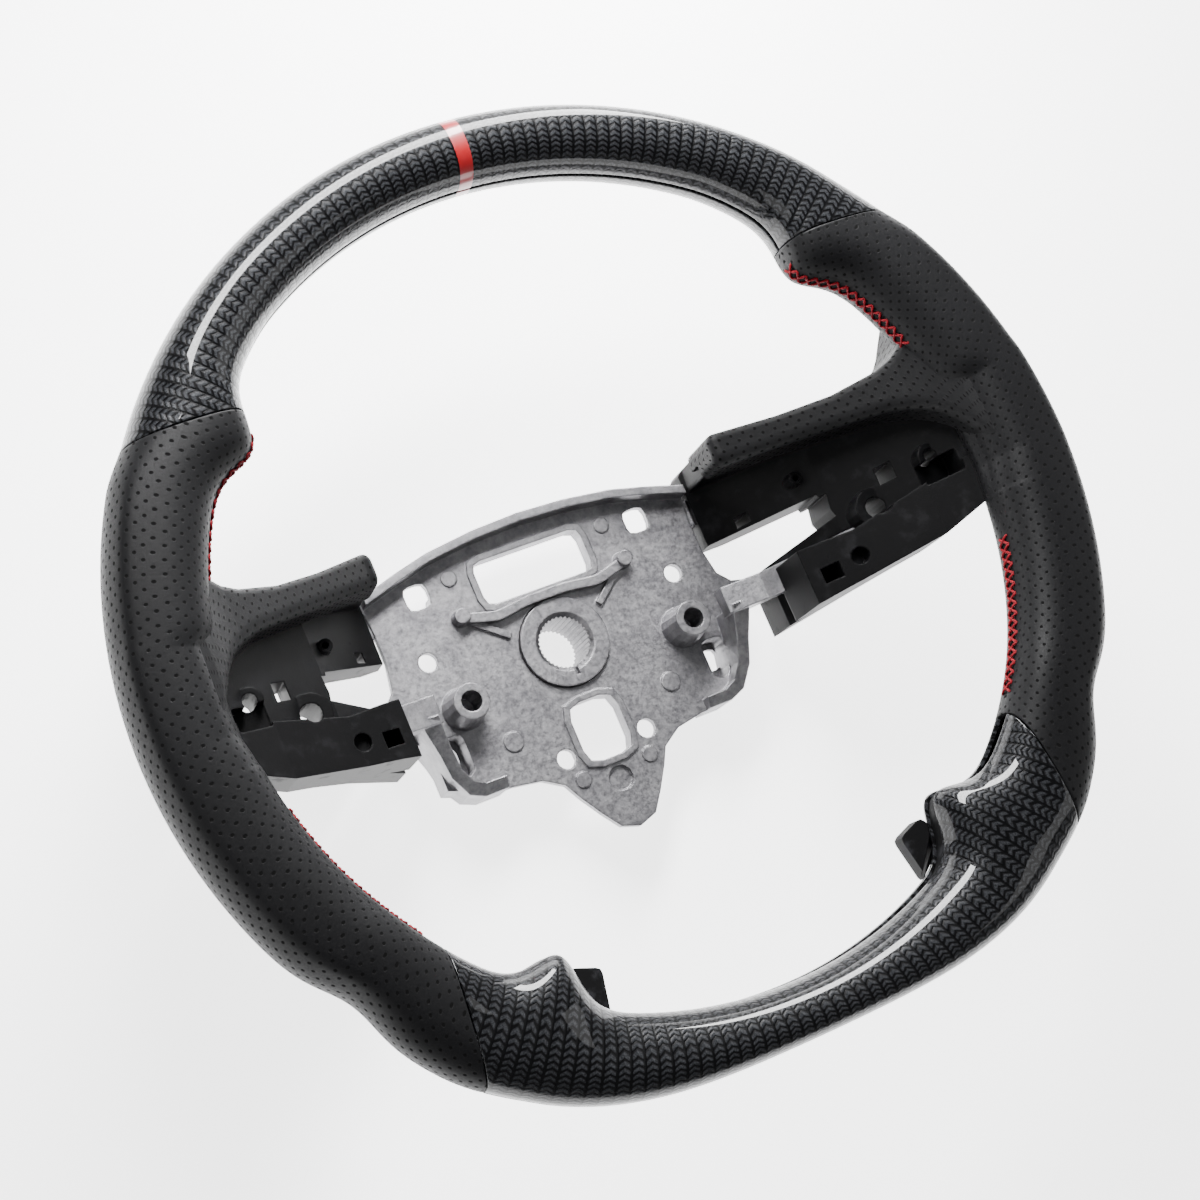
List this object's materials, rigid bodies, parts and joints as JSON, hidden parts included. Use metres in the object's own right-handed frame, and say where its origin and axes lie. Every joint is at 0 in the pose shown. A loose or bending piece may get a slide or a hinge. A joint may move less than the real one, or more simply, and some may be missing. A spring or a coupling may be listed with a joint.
{
  "type": "steering wheel",
  "caption": "Flat-bottomed steering wheel: cast hub plate with splined boss, foam spokes, carbon upper and lower rim, perforated leather grips with stitched seams.",
  "frame": {"origin": "on the hub's axis, on the rear face of the splined boss", "axes": "+Z along the steering column towards the driver, +Y to 12 o'clock, +X to 3 o'clock"},
  "size_m": [0.3616, 0.3494, 0.135],
  "materials": {
    "cast_aluminium": "as-cast, matt with a light sheen",
    "hub_steel": "machined",
    "moulded_foam": "moulded skin, semi-matt",
    "perforated_leather": "smooth, perforated",
    "carbon_laminate": "2x2 twill under clear gloss lacquer",
    "stripe_red": "gloss lacquer",
    "thread_red": "waxed polyester thread"
  },
  "bodies": {
    "root": {"armature_casting": "cast_aluminium", "hub_boss": "hub_steel", "rim_hoop": "hub_steel", "spoke_moulding_right": "moulded_foam", "spoke_moulding_left": "moulded_foam", "grip_foam_right": "moulded_foam", "grip_foam_left": "moulded_foam", "upper_rim_foam": "moulded_foam", "lower_rim_foam": "moulded_foam", "trim_stub_right": "moulded_foam", "trim_stub_left": "moulded_foam", "leather_wrap_right": "perforated_leather", "leather_wrap_left": "perforated_leather", "upper_shell_front": "carbon_laminate", "upper_shell_rear": "carbon_laminate", "lower_shell_front": "carbon_laminate", "lower_shell_rear": "carbon_laminate", "centre_stripe_front": "stripe_red", "centre_stripe_rear": "stripe_red", "upper_stitching_right": "thread_red", "upper_stitching_left": "thread_red", "lower_stitching_right": "thread_red", "lower_stitching_left": "thread_red"}
  },
  "joints": []
}
